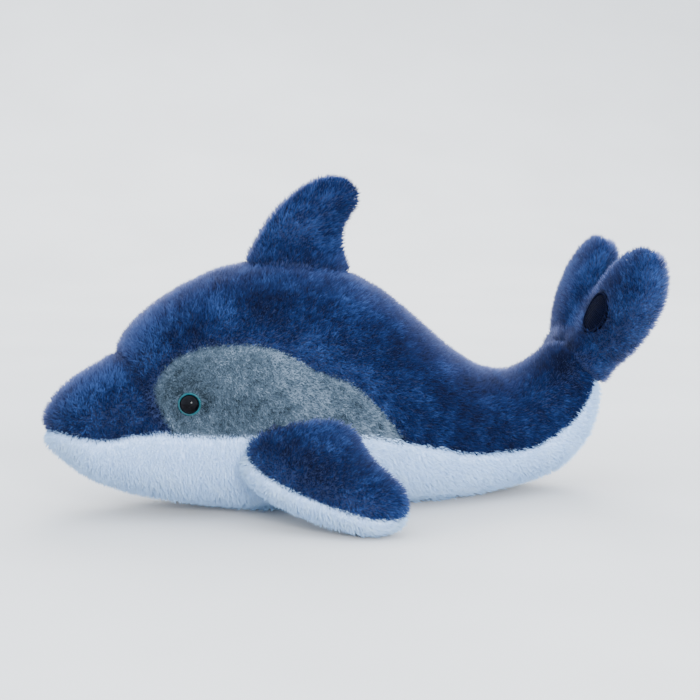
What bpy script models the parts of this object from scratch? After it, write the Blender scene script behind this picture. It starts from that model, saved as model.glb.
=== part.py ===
"""A sewn plush dolphin that lies on its belly with its tail curled up.

The frame is in metres with +Z up. The snout points along -X and the origin lies on the floor,
under the middle of the flat of the belly. Every fabric piece is a panel as thick as its backing
and pile together, and the fibre filling lies inside the panels.
"""

import math

import bmesh
import bpy
from mathutils import Vector

MM = 0.001

# Clearances and fabric
GAP = 0.3 * MM
FILL_GAP = 0.4 * MM
BODY_PILE = 6.0 * MM
LIMB_PILE = 4.5 * MM

# Body sections in the side view: back point x, z, belly point x, z, and half the width, in mm
BODY_SECTIONS = [
    (-192.0, 78.0, -192.0, 32.0, 27.0),
    (-180.0, 81.0, -180.0, 34.0, 30.0),
    (-167.0, 88.0, -162.0, 23.5, 37.0),
    (-154.0, 95.0, -138.0, 14.0, 43.0),
    (-143.5, 100.0, -112.0, 8.0, 49.0),
    (-139.0, 111.0, -106.0, 6.5, 51.0),
    (-132.0, 120.5, -99.0, 5.0, 53.0),
    (-119.0, 131.0, -90.0, 3.0, 56.0),
    (-102.0, 142.0, -80.0, 1.0, 59.0),
    (-77.0, 153.0, -64.0, -3.0, 63.0),
    (-40.0, 159.5, -38.0, -5.0, 66.0),
    (0.0, 152.5, -5.0, -5.0, 66.0),
    (27.0, 137.5, 22.0, -5.0, 63.0),
    (50.0, 118.0, 44.0, -5.0, 59.0),
    (70.0, 100.0, 64.0, -4.0, 54.0),
    (93.0, 84.0, 86.0, -1.0, 47.0),
    (118.0, 78.5, 118.0, 4.5, 40.0),
    (135.0, 87.0, 150.0, 14.0, 35.0),
    (143.5, 94.0, 170.0, 34.0, 31.0),
    (147.0, 99.0, 177.0, 56.0, 28.0),
    (152.5, 99.0, 179.0, 74.0, 25.0),
    (159.0, 99.0, 178.0, 86.0, 21.0),
]
NOSE_ROUND = 25.0 * MM
STOCK_ROUND = 10.0 * MM
BACK_FULLNESS = 2.1
BELLY_FULLNESS = 2.5
BODY_SEGMENTS = 18
BODY_STEPS = 1

# Seams of the body in the side view, x and z in mm
BELLY_SEAM = [
    (-193.0, 56.0),
    (-172.0, 53.0),
    (-158.0, 52.0),
    (-142.0, 55.0),
    (-126.0, 57.0),
    (-99.0, 55.0),
    (-70.0, 54.5),
    (-35.0, 54.0),
    (-2.0, 52.0),
    (23.0, 47.0),
    (52.0, 40.0),
    (87.0, 33.0),
    (116.0, 33.0),
    (141.0, 42.0),
    (159.0, 56.0),
    (167.0, 67.0),
    (173.0, 79.0),
    (179.0, 95.0),
]
CHEEK_EDGE = [
    (-119.0, 60.0),
    (-124.5, 70.0),
    (-128.5, 84.0),
    (-124.5, 94.0),
    (-116.0, 103.0),
    (-103.0, 109.0),
    (-87.0, 112.0),
    (-65.0, 111.0),
    (-48.0, 105.5),
    (-30.0, 95.5),
    (-9.0, 86.0),
    (5.0, 75.0),
    (17.0, 62.0),
    (30.0, 43.0),
]
SNOUT_SEAM = [
    (-143.5, 101.5),
    (-132.0, 83.0),
    (-124.0, 62.0),
]

# Dorsal fin sections in the side view: front point x, z, rear point x, z, half thickness, in mm
FIN_SECTIONS = [
    (-58.0, 136.0, 2.0, 132.0, 13.0),
    (-59.0, 155.0, 4.0, 151.0, 14.0),
    (-54.0, 171.0, 2.0, 166.0, 14.0),
    (-43.0, 188.0, 3.0, 179.0, 13.0),
    (-27.0, 202.0, 9.0, 188.0, 12.0),
    (-10.0, 213.0, 17.0, 194.0, 11.0),
    (-2.0, 217.0, 22.0, 197.0, 10.0),
]
FIN_ROOT_ROUND = 6.0 * MM
FIN_TIP_ROUND = 18.0 * MM

# Flippers: distance along the blade, leading edge, trailing edge, lift and half thickness, in mm
FLIPPER_SECTIONS = [
    (-38.0, -26.0, 24.0, -4.0, 13.0),
    (-22.0, -36.0, 30.0, -1.0, 15.0),
    (0.0, -41.0, 31.0, 0.0, 17.0),
    (20.0, -39.0, 26.0, 0.0, 17.0),
    (40.0, -35.0, 15.0, 0.0, 16.0),
    (60.0, -29.0, 11.0, 0.0, 14.5),
    (78.0, -22.0, 9.0, 0.0, 12.0),
]
FLIPPER_ROOT_ROUND = 20.0 * MM
FLIPPER_TIP_ROUND = 16.0 * MM
FLIPPER_HUB_X = -37.0 * MM
FLIPPER_HUB_Y = -66.0 * MM
FLIPPER_HUB_Z = 45.0 * MM
FLIPPER_REACH = Vector((0.66, -0.62, -0.38))
FLIPPER_FACE = Vector((-0.15, -0.60, 0.78))
FLIPPER_WRAP = 1

# Flukes: distance from the middle, edge towards the body, far edge, rearward sweep and half
# thickness, in mm
FLUKE_SECTIONS = [
    (0.0, -12.0, 50.0, 0.0, 9.0),
    (6.0, -12.0, 60.0, 0.5, 11.0),
    (14.0, -10.0, 77.0, 1.5, 14.5),
    (24.0, -5.0, 85.0, 3.0, 15.5),
    (34.0, 5.0, 86.0, 4.0, 14.5),
    (44.0, 20.0, 80.0, 5.5, 12.5),
    (54.0, 38.0, 70.0, 7.0, 10.0),
]
FLUKE_TIP_ROUND = 16.0 * MM
FLUKE_ROOT_X = 165.0 * MM
FLUKE_ROOT_Z = 86.0 * MM
FLUKE_RISE_DEG = 67.0
FLUKE_TWIST_DEG = 8.0

LIMB_FULLNESS = 2.2
LIMB_SEGMENTS = 14
LIMB_STEPS = 1
ROUND_STEPS = 3

# Eyes
EYE_SECTION_X = -106.0 * MM
EYE_ANGLE_DEG = 8.0
IRIS_RADIUS = 7.8 * MM
IRIS_THICKNESS = 2.4 * MM
IRIS_DEPTH = 3.5 * MM
PUPIL_RADIUS = 6.1 * MM
PUPIL_HEIGHT = 4.2 * MM
SHANK_RADIUS = 2.0 * MM
SHANK_LENGTH = 11.0 * MM
WASHER_RADIUS = 6.8 * MM
WASHER_THICKNESS = 1.2 * MM
WASHER_DEPTH = 0.9 * MM
EYE_SEGMENTS = 16

# Sewn-on label on the flukes
LABEL_ACROSS = -19.0 * MM
LABEL_ALONG = 33.0 * MM
LABEL_HALF_WIDTH = 12.0 * MM
LABEL_HALF_LENGTH = 14.5 * MM
LABEL_TOP = 0.6 * MM
LABEL_THICKNESS = 1.6 * MM
LABEL_SEGMENTS = 20
LABEL_RINGS = 2
LABEL_CLEARING = 10.0 * MM

# How far cutters reach: past the whole part, and past the seam where a panel's outline ends
FAR = 400.0 * MM
SEAM_RUN_OUT = 60.0 * MM


def clear_scene():
    for item in list(bpy.data.objects):
        bpy.data.objects.remove(item)


def make_material(name, colour, roughness, metallic=0.0):
    material = bpy.data.materials.new(name)
    material.use_nodes = True
    shader = material.node_tree.nodes["Principled BSDF"]
    shader.inputs["Base Color"].default_value = (*colour, 1.0)
    shader.inputs["Roughness"].default_value = roughness
    shader.inputs["Metallic"].default_value = metallic
    return material


def slopes_of(keys, values):
    """Slopes at the keys that keep a cubic between two points from overshooting them."""
    rises = [(values[i + 1] - values[i]) / (keys[i + 1] - keys[i]) for i in range(len(keys) - 1)]
    slopes = [rises[0]]
    for before, after in zip(rises, rises[1:]):
        same_way = before * after > 0.0
        slopes.append(2.0 * before * after / (before + after) if same_way else 0.0)
    slopes.append(rises[-1])
    return slopes


def smooth(keys, values, at):
    """The value at a key, on a smooth curve through the given ones."""
    at = min(max(at, keys[0]), keys[-1])
    slopes = slopes_of(keys, values)
    i = max(k for k in range(len(keys) - 1) if keys[k] <= at)
    span = keys[i + 1] - keys[i]
    s = (at - keys[i]) / span
    start = (1.0 + 2.0 * s) * (1.0 - s) ** 2
    end = s * s * (3.0 - 2.0 * s)
    leave = s * (1.0 - s) ** 2 * span
    arrive = s * s * (s - 1.0) * span
    return start * values[i] + end * values[i + 1] + leave * slopes[i] + arrive * slopes[i + 1]


def signed_power(value, power):
    return math.copysign(abs(value) ** power, value)


class Loft:
    """A stuffed form lofted through sections, rounded at both ends.

    A section has an upper and a lower point, a direction across them and half a width. Grown or
    shrunk copies of the form share its sections, so a copy never crosses the first.
    """

    def __init__(self, sections, start_round, end_round, segments, steps, fullness, floor=False):
        self.rows = [[*high, *low, *across, half] for high, low, across, half in sections]
        middles = [(high + low) / 2.0 for high, low, _, _ in sections]
        self.keys = [0.0]
        for before, after in zip(middles, middles[1:]):
            self.keys.append(self.keys[-1] + (after - before).length)
        self.columns = list(zip(*self.rows))
        self.start_round = start_round
        self.end_round = end_round
        self.segments = segments
        self.steps = steps
        self.fullness = fullness
        self.floor = floor

    def section(self, at):
        numbers = [smooth(self.keys, column, at) for column in self.columns]
        high, low = Vector(numbers[0:3]), Vector(numbers[3:6])
        return (high + low) / 2.0, (high - low) / 2.0, Vector(numbers[6:9]).normalized(), numbers[9]

    def rounding(self, at, inset):
        """How far the rounded ends draw the form in at this place, from 0 to 1."""
        share = 1.0
        ends = ((at, self.start_round), (self.keys[-1] - at, self.end_round))
        for distance, radius in ends:
            if distance < radius:
                reach = min(max((distance - inset) / (radius - inset), 0.0), 1.0)
                share *= math.sqrt(max(1.0 - (1.0 - reach) ** 2, 0.0))
        return share

    def stations(self, inset):
        length = self.keys[-1]
        turns = [math.pi / 2.0 * k / ROUND_STEPS for k in range(ROUND_STEPS)]
        start = [inset + (self.start_round - inset) * (1.0 - math.cos(turn)) for turn in turns]
        end = [length - inset - (self.end_round - inset) * (1.0 - math.cos(turn)) for turn in turns]
        first, last = self.start_round, length - self.end_round
        between = [first]
        spacing = 0.3 * min(b - a for a, b in zip(self.keys, self.keys[1:]))
        for a, b in zip(self.keys, self.keys[1:]):
            for k in range(self.steps):
                at = a + (b - a) * k / self.steps
                if first + spacing < at < last - spacing:
                    between.append(at)
        between.append(last)
        return start + between + end[::-1]

    def point(self, at, angle, inset=0.0):
        """A point of the form's surface. The angle turns from the width's side to the upper point."""
        middle, half_height, across, half_width = self.section(at)
        share = self.rounding(at, inset)
        height = half_height.length
        fullness = self.fullness[0] if math.sin(angle) >= 0.0 else self.fullness[1]
        up = signed_power(math.sin(angle), 2.0 / fullness) * (height - inset) * share
        side = signed_power(math.cos(angle), 2.0 / fullness) * (half_width - inset) * share
        found = middle + half_height.normalized() * up + across * side
        if self.floor:
            found.z = max(found.z, inset)
        return found

    def rings(self, inset=0.0):
        """The surface as rings of points from end to end, each from the lower point round."""
        turn = 2.0 * math.pi / self.segments
        angles = [-math.pi / 2.0 + turn * j for j in range(self.segments)]
        return [[self.point(at, angle, inset) for angle in angles] for at in self.stations(inset)]

    def normal(self, at, angle):
        step = 0.5 * MM
        turn = 0.02
        along = self.point(at + step, angle) - self.point(at - step, angle)
        round_it = self.point(at, angle + turn) - self.point(at, angle - turn)
        found = along.cross(round_it).normalized()
        middle = self.section(at)[0]
        return found if found.dot(self.point(at, angle) - middle) > 0.0 else -found


def mesh_object(name, points, faces, material=None, helper=False):
    mesh = bpy.data.meshes.new(name)
    mesh.from_pydata([tuple(p) for p in points], [], faces)
    shape = bmesh.new()
    shape.from_mesh(mesh)
    bmesh.ops.remove_doubles(shape, verts=shape.verts, dist=1e-7)
    bmesh.ops.dissolve_degenerate(shape, edges=shape.edges, dist=1e-7)
    shape.to_mesh(mesh)
    shape.free()
    made = bpy.data.objects.new(name, mesh)
    bpy.context.scene.collection.objects.link(made)
    if material:
        mesh.materials.append(material)
    if helper:
        made.hide_render = True
        made.display_type = "WIRE"
    else:
        mesh.shade_smooth()
        mesh.set_sharp_from_angle(angle=math.radians(40.0))
    return made


def face_out(made):
    """Turns every face of a closed mesh outwards, and those of a cavity into the cavity."""
    shape = bmesh.new()
    shape.from_mesh(made.data)
    bmesh.ops.recalc_face_normals(shape, faces=shape.faces)
    shape.to_mesh(made.data)
    shape.free()
    return made


def ring_faces(rows, columns, first, wrap, turned):
    """Triangles over a grid of points that starts at index first."""
    faces = []
    for i in range(rows - 1):
        for j in range(columns if wrap else columns - 1):
            k = (j + 1) % columns
            a, b = first + i * columns + j, first + i * columns + k
            c, d = first + (i + 1) * columns + k, first + (i + 1) * columns + j
            pair = [(a, b, c), (a, c, d)]
            faces += [face[::-1] for face in pair] if turned else pair
    return faces


def solid_of(name, loft, inset, material=None, helper=False):
    rings = loft.rings(inset)
    points = [point for ring in rings for point in ring]
    faces = ring_faces(len(rings), loft.segments, 0, True, False)
    return face_out(mesh_object(name, points, faces, material, helper))


def shell_of(name, loft, thickness, material):
    """A closed skin: the loft's surface with a cavity inside it."""
    outer, inner = loft.rings(0.0), loft.rings(thickness)
    points = [point for ring in outer + inner for point in ring]
    faces = ring_faces(len(outer), loft.segments, 0, True, True)
    faces += ring_faces(len(inner), loft.segments, len(outer) * loft.segments, True, False)
    made = mesh_object(name, points, faces, material)
    volume = sum(
        p.dot(q.cross(r))
        for p, q, r in (
            [made.data.vertices[i].co for i in polygon.vertices] for polygon in made.data.polygons
        )
    )
    if volume < 0.0:
        made.data.flip_normals()
    return made


def half_shell(name, loft, thickness, side, material, wrap):
    """One of the two fabric faces of a stuffed limb. It ends at the limb's edge seam.

    The seam of the lower edge is turned up on the first face by a number of segments.
    """
    half = loft.segments // 2
    first, second = range(wrap, half + 1), range(half, loft.segments)
    order = list(first) if side > 0 else [*second, *range(wrap + 1)]
    columns = len(order)
    outer = [[ring[j] for j in order] for ring in loft.rings(0.0)]
    inner = [[ring[j] for j in order] for ring in loft.rings(thickness)]
    rows = len(outer)
    points = []
    for rings, stations in ((outer, loft.stations(0.0)), (inner, loft.stations(thickness))):
        for ring, at in zip(rings, stations):
            across = loft.section(at)[2]
            points += [point + across * (side * GAP / 2.0) for point in ring]
    start = rows * columns
    faces = ring_faces(rows, columns, 0, False, False)
    faces += ring_faces(rows, columns, start, False, True)
    for j in (0, columns - 1):
        for i in range(rows - 1):
            a, b = i * columns + j, (i + 1) * columns + j
            faces += [(a, b, start + b), (a, start + b, start + a)]
    return face_out(mesh_object(name, points, faces, material))


def cut(made, cutter, operation="DIFFERENCE"):
    modifier = made.modifiers.new(f"{operation.lower()}_{cutter.name}", "BOOLEAN")
    modifier.operation = operation
    modifier.solver = "EXACT"
    modifier.object = cutter


def shifted(line, distance):
    """A side-view line moved sideways, to its left where the distance is positive."""
    moved = []
    for i, point in enumerate(line):
        ahead = line[min(i + 1, len(line) - 1)] - line[max(i - 1, 0)]
        ahead.normalize()
        moved.append(point + Vector((-ahead.y, ahead.x)) * distance)
    return moved


def seam_line(points, per_span=3):
    """A smooth side-view line through points given in mm."""
    keys = [0.0]
    for before, after in zip(points, points[1:]):
        keys.append(keys[-1] + math.dist(before, after))
    line = []
    for i in range(len(points) - 1):
        for k in range(per_span):
            at = keys[i] + (keys[i + 1] - keys[i]) * k / per_span
            line.append(Vector([smooth(keys, column, at) for column in zip(*points)]) * MM)
    line.append(Vector(points[-1]) * MM)
    return line


def prism(name, outline, low=-FAR, high=FAR):
    """A side-view outline pushed through the body from y = low to y = high."""
    count = len(outline)
    points = [Vector((p.x, y, p.y)) for y in (low, high) for p in outline]
    faces = [tuple(range(count)), tuple(range(count, 2 * count))]
    faces += [(i, (i + 1) % count, count + (i + 1) % count, count + i) for i in range(count)]
    return face_out(mesh_object(name, points, faces, helper=True))


def turned(name, profile, place, material=None, helper=False):
    """A round piece turned from a profile of radius and height pairs, placed by a matrix.

    A profile that starts on the axis ends on it too. Any other closes on itself, as on a ring.
    """
    points, faces = [], []
    for radius, height in profile:
        for j in range(EYE_SEGMENTS):
            turn = 2.0 * math.pi * j / EYE_SEGMENTS
            points.append(Vector((radius * math.cos(turn), radius * math.sin(turn), height)))
    count = len(profile)
    bands = count if profile[0][0] > 0.0 else count - 1
    for i in range(bands):
        a, b = i * EYE_SEGMENTS, (i + 1) % count * EYE_SEGMENTS
        for j in range(EYE_SEGMENTS):
            k = (j + 1) % EYE_SEGMENTS
            faces.append((a + j, a + k, b + k, b + j))
    made = face_out(mesh_object(name, points, faces, material, helper))
    made.matrix_world = place
    return made


def side_name(side):
    return "left" if side < 0 else "right"


def body_loft():
    sections = []
    for back_x, back_z, belly_x, belly_z, half in BODY_SECTIONS:
        high, low = Vector((back_x, 0.0, back_z)) * MM, Vector((belly_x, 0.0, belly_z)) * MM
        sections.append((high, low, Vector((0.0, 1.0, 0.0)), half * MM))
    return Loft(
        sections,
        NOSE_ROUND,
        STOCK_ROUND,
        BODY_SEGMENTS,
        BODY_STEPS,
        (BACK_FULLNESS, BELLY_FULLNESS),
        floor=True,
    )


def fin_loft():
    sections = []
    for front_x, front_z, rear_x, rear_z, half in FIN_SECTIONS:
        high, low = Vector((front_x, 0.0, front_z)) * MM, Vector((rear_x, 0.0, rear_z)) * MM
        sections.append((high, low, Vector((0.0, 1.0, 0.0)), half * MM))
    return limb_loft(sections, FIN_ROOT_ROUND, FIN_TIP_ROUND)


def limb_loft(sections, start_round, end_round):
    fullness = (LIMB_FULLNESS, LIMB_FULLNESS)
    return Loft(
        sections, start_round, end_round, LIMB_SEGMENTS, LIMB_STEPS, fullness, floor=True
    )


def flipper_loft(side):
    """A flipper on one side: -1 is the left one, at -Y, and 1 the right one."""
    reach = FLIPPER_REACH.normalized()
    face = (FLIPPER_FACE - reach * FLIPPER_FACE.dot(reach)).normalized()
    chord = face.cross(reach)
    chord *= 1.0 if chord.z > 0.0 else -1.0
    hub = Vector((FLIPPER_HUB_X, FLIPPER_HUB_Y, FLIPPER_HUB_Z))
    sections = []
    for along, lead, trail, lift, half in FLIPPER_SECTIONS:
        base = hub + (reach * along + face * lift) * MM
        ends = [base + chord * trail * MM, base + chord * lead * MM, face.copy()]
        for end in ends:
            end.y *= -side
        sections.append((*ends, half * MM))
    return limb_loft(sections, FLIPPER_ROOT_ROUND, FLIPPER_TIP_ROUND)


def fluke_root():
    return Vector((FLUKE_ROOT_X, 0.0, FLUKE_ROOT_Z))


def fluke_axes():
    rise = math.radians(FLUKE_RISE_DEG)
    along = Vector((math.cos(rise), 0.0, math.sin(rise)))
    front = Vector((-math.sin(rise), 0.0, math.cos(rise)))
    twist = math.radians(FLUKE_TWIST_DEG)
    wide = Vector((0.0, 1.0, 0.0)) * math.cos(twist) + front * math.sin(twist)
    return along, along.cross(wide), wide


def fluke_loft():
    along, front, wide = fluke_axes()
    wing = [row for row in FLUKE_SECTIONS if row[0] > 0.0]
    rows = [(-row[0], *row[1:]) for row in wing[::-1]] + [FLUKE_SECTIONS[0]] + wing
    sections = []
    for lateral, near, far, sweep, half in rows:
        base = fluke_root() + (wide * lateral - front * sweep) * MM
        sections.append((base + along * far * MM, base + along * near * MM, front, half * MM))
    return limb_loft(sections, FLUKE_TIP_ROUND, FLUKE_TIP_ROUND)


def fluke_face_point(loft, lateral, along_it, inset):
    """A point on the front of the flukes, given across and along them from their root."""
    along, _, wide = fluke_axes()
    centre = loft.keys[len(loft.keys) // 2]
    at = centre
    for _ in range(8):
        at += lateral - (loft.section(at)[0] - fluke_root()).dot(wide)
    middle, half_height, across, half_width = loft.section(at)
    reach = (fluke_root() + along * along_it - middle).dot(along)
    share = min(abs(reach) / (half_height.length - inset), 1.0)
    height = (1.0 - share**LIMB_FULLNESS) ** (1.0 / LIMB_FULLNESS) * (half_width - inset)
    return middle + along * reach + across * height


def oval_plate(name, loft, grow, top, bottom, material=None, helper=False):
    """An oval plate that follows the front of the flukes between two depths in the pile."""
    points, faces = [], []
    across, length = LABEL_HALF_WIDTH + grow, LABEL_HALF_LENGTH + grow
    for inset in (top, bottom):
        points.append(fluke_face_point(loft, LABEL_ACROSS, LABEL_ALONG, inset))
        for r in range(1, LABEL_RINGS + 1):
            for j in range(LABEL_SEGMENTS):
                turn, share = 2.0 * math.pi * j / LABEL_SEGMENTS, r / LABEL_RINGS
                lateral = LABEL_ACROSS + across * share * math.cos(turn)
                along_it = LABEL_ALONG + length * share * math.sin(turn)
                points.append(fluke_face_point(loft, lateral, along_it, inset))
    layer = 1 + LABEL_RINGS * LABEL_SEGMENTS
    for j in range(LABEL_SEGMENTS):
        k = (j + 1) % LABEL_SEGMENTS
        for start in (0, layer):
            faces.append((start, start + 1 + j, start + 1 + k))
            for r in range(LABEL_RINGS - 1):
                a = start + 1 + r * LABEL_SEGMENTS
                b = a + LABEL_SEGMENTS
                faces += [(a + j, b + j, b + k), (a + j, b + k, a + k)]
        rim = 1 + (LABEL_RINGS - 1) * LABEL_SEGMENTS
        faces.append((rim + j, rim + k, layer + rim + k, layer + rim + j))
    return face_out(mesh_object(name, points, faces, material, helper))


def body_panels(body, materials):
    """The fabric panels of the body, cut from one skin along the side-view seams."""
    belly_seam, cheek_edge = seam_line(BELLY_SEAM), seam_line(CHEEK_EDGE)
    snout_seam = seam_line(SNOUT_SEAM)
    half = GAP / 2.0

    def below(name, distance):
        line = shifted(belly_seam, distance)
        front, rear = line[0], line[-1]
        ends = [
            Vector((front.x - FAR, front.y)),
            Vector((front.x - FAR, front.y - FAR)),
            Vector((rear.x + FAR, front.y - FAR)),
            Vector((rear.x + FAR, rear.y)),
        ]
        return prism(name, [ends[0], *line, *ends[:0:-1]])

    def cheek(name, distance, low, high):
        line = shifted(cheek_edge, distance)
        drop = Vector((0.0, -SEAM_RUN_OUT))
        return prism(name, [line[0] + drop, *line, line[-1] + drop], low, high)

    def snout(name, distance):
        line = shifted(snout_seam, distance)
        lean = (line[0] - line[1]).normalized() * FAR
        foot = line[-1] + (line[-1] - line[-2]).normalized() * SEAM_RUN_OUT
        away = Vector((-FAR, 0.0))
        return prism(name, [line[0] + lean, *line, foot, foot + away, line[0] + lean + away])

    under, over = below("below_seam", -half), below("above_seam", half)
    ahead, behind = snout("ahead_of_snout_seam", -half), snout("behind_snout_seam", half)
    all_cheek = cheek("both_cheeks", half, -FAR, FAR)
    panels = {"belly_panel": shell_of("belly_panel", body, BODY_PILE, materials["white_pile"])}
    cut(panels["belly_panel"], under, "INTERSECT")
    panels["snout_panel"] = shell_of("snout_panel", body, BODY_PILE, materials["blue_pile"])
    cut(panels["snout_panel"], over)
    cut(panels["snout_panel"], ahead, "INTERSECT")
    for side in (-1, 1):
        low, high = (-FAR, -half) if side < 0 else (half, FAR)
        name = f"cheek_panel_{side_name(side)}"
        panels[name] = shell_of(name, body, BODY_PILE, materials["grey_pile"])
        cut(panels[name], over)
        cut(panels[name], cheek(f"cheek_{side_name(side)}", -half, low, high), "INTERSECT")
        name = f"back_panel_{side_name(side)}"
        panels[name] = shell_of(name, body, BODY_PILE, materials["blue_pile"])
        square = [Vector((x, z)) for x, z in ((-FAR, -FAR), (FAR, -FAR), (FAR, FAR), (-FAR, FAR))]
        cut(panels[name], prism(f"half_{side_name(side)}", square, low, high), "INTERSECT")
        cut(panels[name], over)
        cut(panels[name], behind)
        cut(panels[name], all_cheek)
    return panels


def limb_pieces(names, loft, materials, trims, wrap=0):
    """Two fabric faces and their filling, trimmed where the limb is sewn to the body."""
    first, second, filling = names
    made = [
        half_shell(first, loft, LIMB_PILE, 1, materials[0], wrap),
        half_shell(second, loft, LIMB_PILE, -1, materials[1], wrap),
        solid_of(filling, loft, LIMB_PILE + FILL_GAP, materials[2]),
    ]
    for piece in made:
        for trim in trims:
            cut(piece, trim)
    return made


def eye_pieces(side, body, panel, stuffing, materials):
    """A safety eye: flange with its shank, dome, and the washer that locks it inside."""
    name = side_name(side)
    at = min(
        (body.keys[-1] * k / 400.0 for k in range(400)),
        key=lambda d: abs(body.section(d)[0].x - EYE_SECTION_X),
    )
    angle = math.radians(EYE_ANGLE_DEG)
    angle = angle if side > 0 else math.pi - angle
    outward = body.normal(at, angle)
    place = outward.to_track_quat("Z", "Y").to_matrix().to_4x4()
    place.translation = body.point(at, angle)
    back, front = -IRIS_DEPTH, -IRIS_DEPTH + IRIS_THICKNESS
    tip = back - SHANK_LENGTH
    clear = BODY_PILE + SHANK_LENGTH + PUPIL_HEIGHT
    chamfer = IRIS_THICKNESS / 3.0
    iris = [
        (0.0, tip),
        (SHANK_RADIUS * 0.6, tip),
        (SHANK_RADIUS, tip + SHANK_RADIUS * 0.5),
        (SHANK_RADIUS, back),
        (IRIS_RADIUS - chamfer, back),
        (IRIS_RADIUS, back + chamfer),
        (IRIS_RADIUS, front - chamfer),
        (IRIS_RADIUS - chamfer, front),
        (0.0, front),
    ]
    turned(f"eye_iris_{name}", iris, place, materials["iris_plastic"])
    dome = [(0.0, front + GAP)]
    for k in range(6):
        rise = math.pi / 2.0 * k / 6
        dome.append((PUPIL_RADIUS * math.cos(rise), front + GAP + PUPIL_HEIGHT * math.sin(rise)))
    dome.append((0.0, front + GAP + PUPIL_HEIGHT))
    turned(f"eye_pupil_{name}", dome, place, materials["pupil_plastic"])
    top = -BODY_PILE - WASHER_DEPTH
    bore = SHANK_RADIUS + GAP
    washer = [
        (bore, top),
        (WASHER_RADIUS, top),
        (WASHER_RADIUS, top - WASHER_THICKNESS),
        (bore, top - WASHER_THICKNESS),
    ]
    turned(f"eye_washer_{name}", washer, place, materials["washer_plastic"])
    seat = [
        (0.0, -clear),
        (bore, -clear),
        (bore, back - GAP),
        (IRIS_RADIUS + GAP, back - GAP),
        (IRIS_RADIUS + GAP, clear),
        (0.0, clear),
    ]
    cut(panel, turned(f"eye_seat_{name}", seat, place, helper=True))
    pocket = [
        (0.0, tip - GAP),
        (bore, tip - GAP),
        (bore, top - WASHER_THICKNESS - GAP),
        (WASHER_RADIUS + GAP, top - WASHER_THICKNESS - GAP),
        (WASHER_RADIUS + GAP, clear),
        (0.0, clear),
    ]
    cut(stuffing, turned(f"washer_pocket_{name}", pocket, place, helper=True))


def build():
    clear_scene()
    materials = {
        "blue_pile": make_material("blue_pile", (0.022, 0.062, 0.205), 0.85),
        "white_pile": make_material("white_pile", (0.66, 0.72, 0.80), 0.85),
        "grey_pile": make_material("grey_pile", (0.15, 0.215, 0.27), 0.85),
        "fibre_fill": make_material("fibre_fill", (0.85, 0.85, 0.83), 0.95),
        "iris_plastic": make_material("iris_plastic", (0.02, 0.25, 0.30), 0.25),
        "pupil_plastic": make_material("pupil_plastic", (0.005, 0.005, 0.008), 0.08),
        "washer_plastic": make_material("washer_plastic", (0.75, 0.75, 0.75), 0.5),
        "label_thread": make_material("label_thread", (0.010, 0.010, 0.022), 0.7),
    }
    body = body_loft()
    blue, white, fill = (materials[n] for n in ("blue_pile", "white_pile", "fibre_fill"))
    trim = solid_of("body_room", body, -GAP, helper=True)
    panels = body_panels(body, materials)
    stuffing = solid_of("body_stuffing", body, BODY_PILE + FILL_GAP, fill)
    for side in (-1, 1):
        name = side_name(side)
        eye_pieces(side, body, panels[f"cheek_panel_{name}"], stuffing, materials)
        limb_pieces(
            (f"flipper_{name}_top", f"flipper_{name}_under", f"flipper_{name}_stuffing"),
            flipper_loft(side),
            (blue, white, fill),
            [trim],
            FLIPPER_WRAP,
        )
    limb_pieces(
        ("dorsal_fin_right", "dorsal_fin_left", "dorsal_fin_stuffing"),
        fin_loft(),
        (blue, blue, fill),
        [trim],
    )
    flukes = fluke_loft()
    front, _, _ = limb_pieces(
        ("fluke_front_panel", "fluke_rear_panel", "fluke_stuffing"),
        flukes,
        (blue, blue, fill),
        [trim],
    )
    oval_plate(
        "label_patch",
        flukes,
        0.0,
        LABEL_TOP,
        LABEL_TOP + LABEL_THICKNESS,
        materials["label_thread"],
    )
    room = oval_plate(
        "label_room", flukes, GAP, -LABEL_CLEARING, LABEL_TOP + LABEL_THICKNESS + GAP, helper=True
    )
    cut(front, room)


build()
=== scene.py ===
"""The looks of a plush dolphin: sewn long-pile fabric over stuffed forms, safety eyes and a patch.

Each stuffed form starts from the frame's solids, is drawn in by the depth of its pile and swells
between its pinned seams in a short cloth simulation. Strands of pile then grow on it, one piece
of them for each fabric panel.
"""

import math

import bmesh
import bpy
import numpy as np
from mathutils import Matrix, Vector
from mathutils.bvhtree import BVHTree


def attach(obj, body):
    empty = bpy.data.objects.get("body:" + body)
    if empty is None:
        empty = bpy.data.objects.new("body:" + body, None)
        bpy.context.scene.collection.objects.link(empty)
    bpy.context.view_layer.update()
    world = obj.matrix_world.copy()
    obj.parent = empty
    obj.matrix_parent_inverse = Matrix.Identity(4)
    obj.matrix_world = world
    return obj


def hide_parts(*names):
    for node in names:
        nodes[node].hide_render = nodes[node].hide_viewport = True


MM = 0.001

# Camera, set for a square picture
CAMERA_AZIMUTH_DEG = 15.0
CAMERA_ELEVATION_DEG = 8.0
CAMERA_DISTANCE = 1.25
CAMERA_TARGET = Vector((0.008, 0.0, 0.098))
CAMERA_LENS_MM = 99.0
CAMERA_SENSOR_MM = 36.0

# Stuffed forms
MERGE_DISTANCE = 0.02 * MM
BODY_VOXEL = 5.4 * MM
LIMB_VOXEL = 3.8 * MM
BODY_SMOOTHING = 7
LIMB_SMOOTHING = 4
BODY_DEPTH = 3.0 * MM
LIMB_DEPTH = 1.6 * MM
SWELL_FRAMES = 20
SWELL_PRESSURE = 4.0
SWELL_CAP = 2.5 * MM
SEAM_HOLD = 5.0 * MM
SEAM_DEPTH = 1.4 * MM
SEAM_WIDTH = 3.0 * MM
BACK_SEAM_HIDING = 0.8
FLOOR_LIFT = 1.2 * MM
FLOOR_SLOPE = 1.5
FLOOR_HOLD = (1.0 * MM, 8.0 * MM)

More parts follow.
